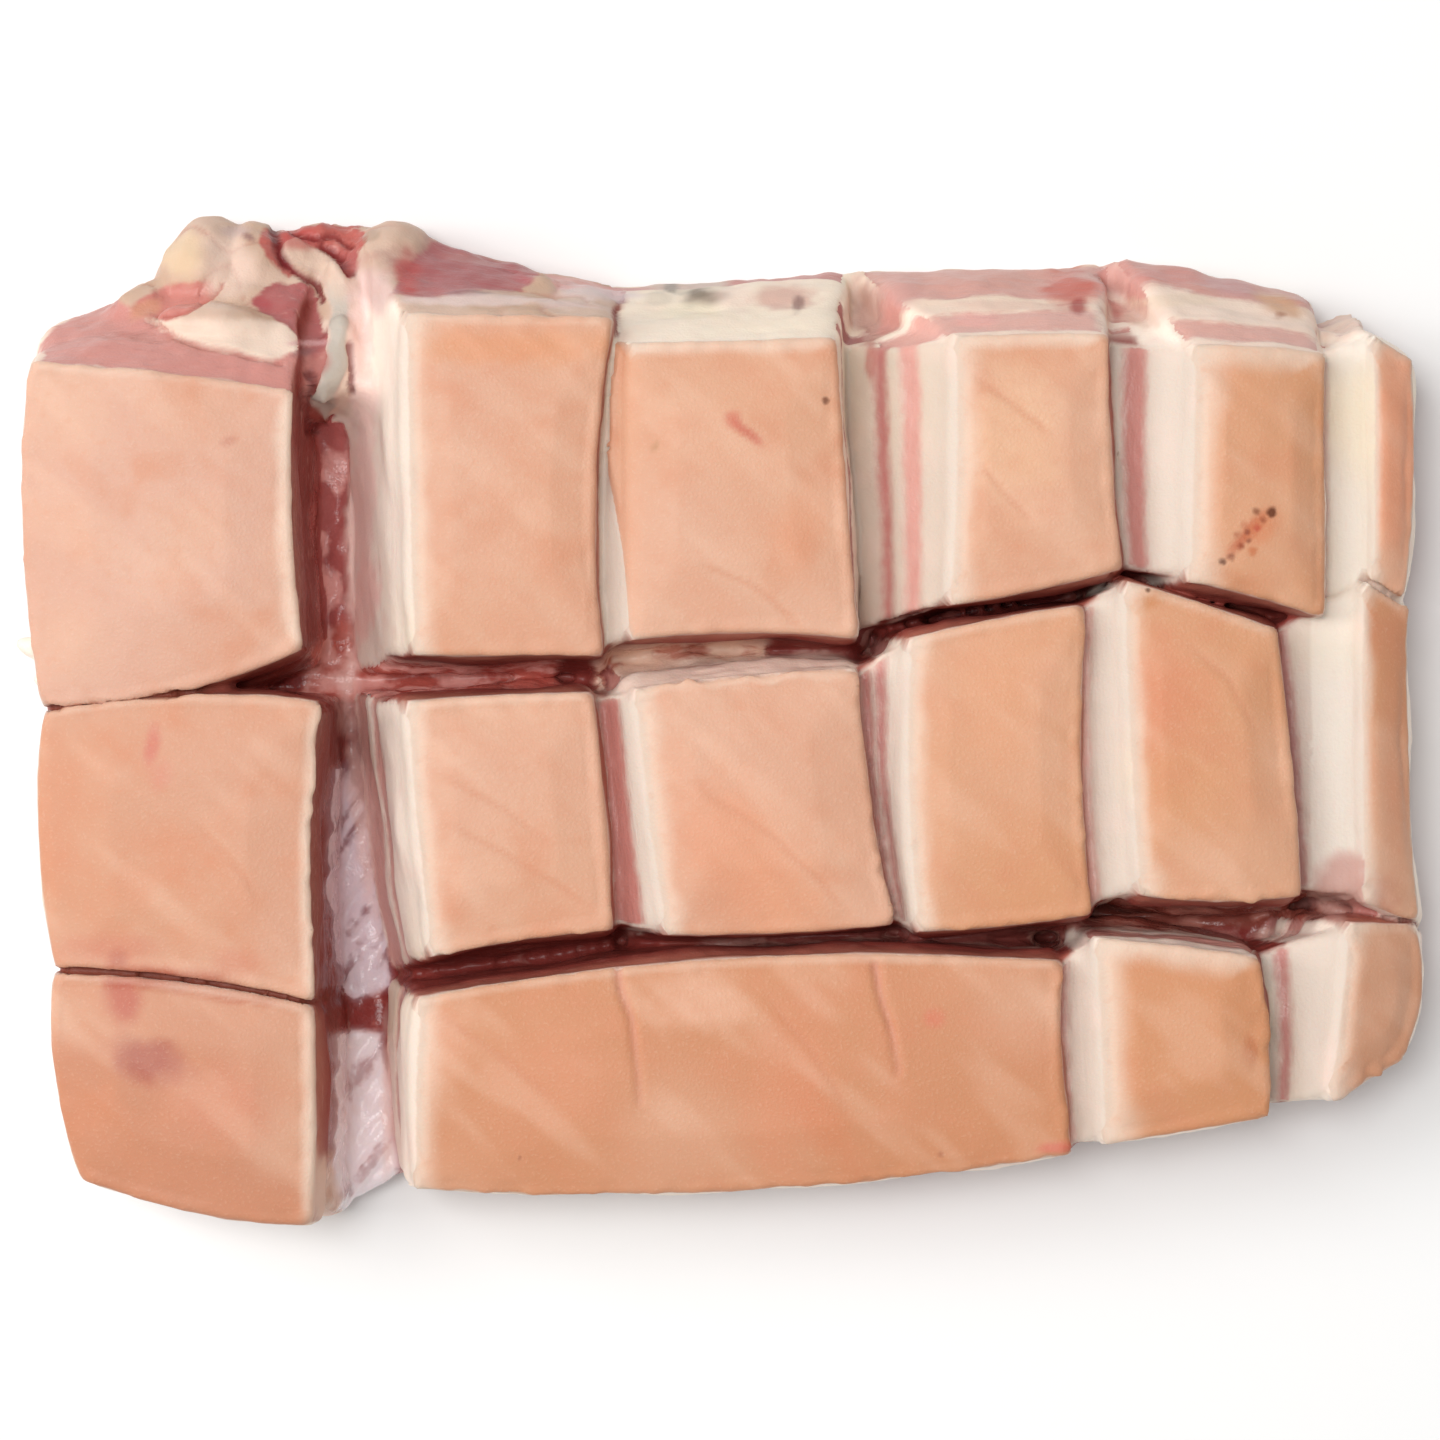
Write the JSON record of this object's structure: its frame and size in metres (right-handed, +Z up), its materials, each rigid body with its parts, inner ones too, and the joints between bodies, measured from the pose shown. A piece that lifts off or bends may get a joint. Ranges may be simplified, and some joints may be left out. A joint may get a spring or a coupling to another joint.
{
  "type": "pork belly slab",
  "caption": "Slab of raw pork belly, rind up, cut from the rind into rows of blocks that an uncut layer of meat holds together.",
  "frame": {"origin": "under the middle of the slab's box, on the surface that it rests on", "axes": "+X along the slab, +Y to its far edge, +Z up through the rind"},
  "size_m": [0.2886, 0.207, 0.0496],
  "materials": {
    "raw_pork": "moist pale rind over white fat and pink lean meat, lightly glossy on the cut faces"
  },
  "bodies": {
    "root": {"pork_belly": "raw_pork"}
  },
  "joints": []
}
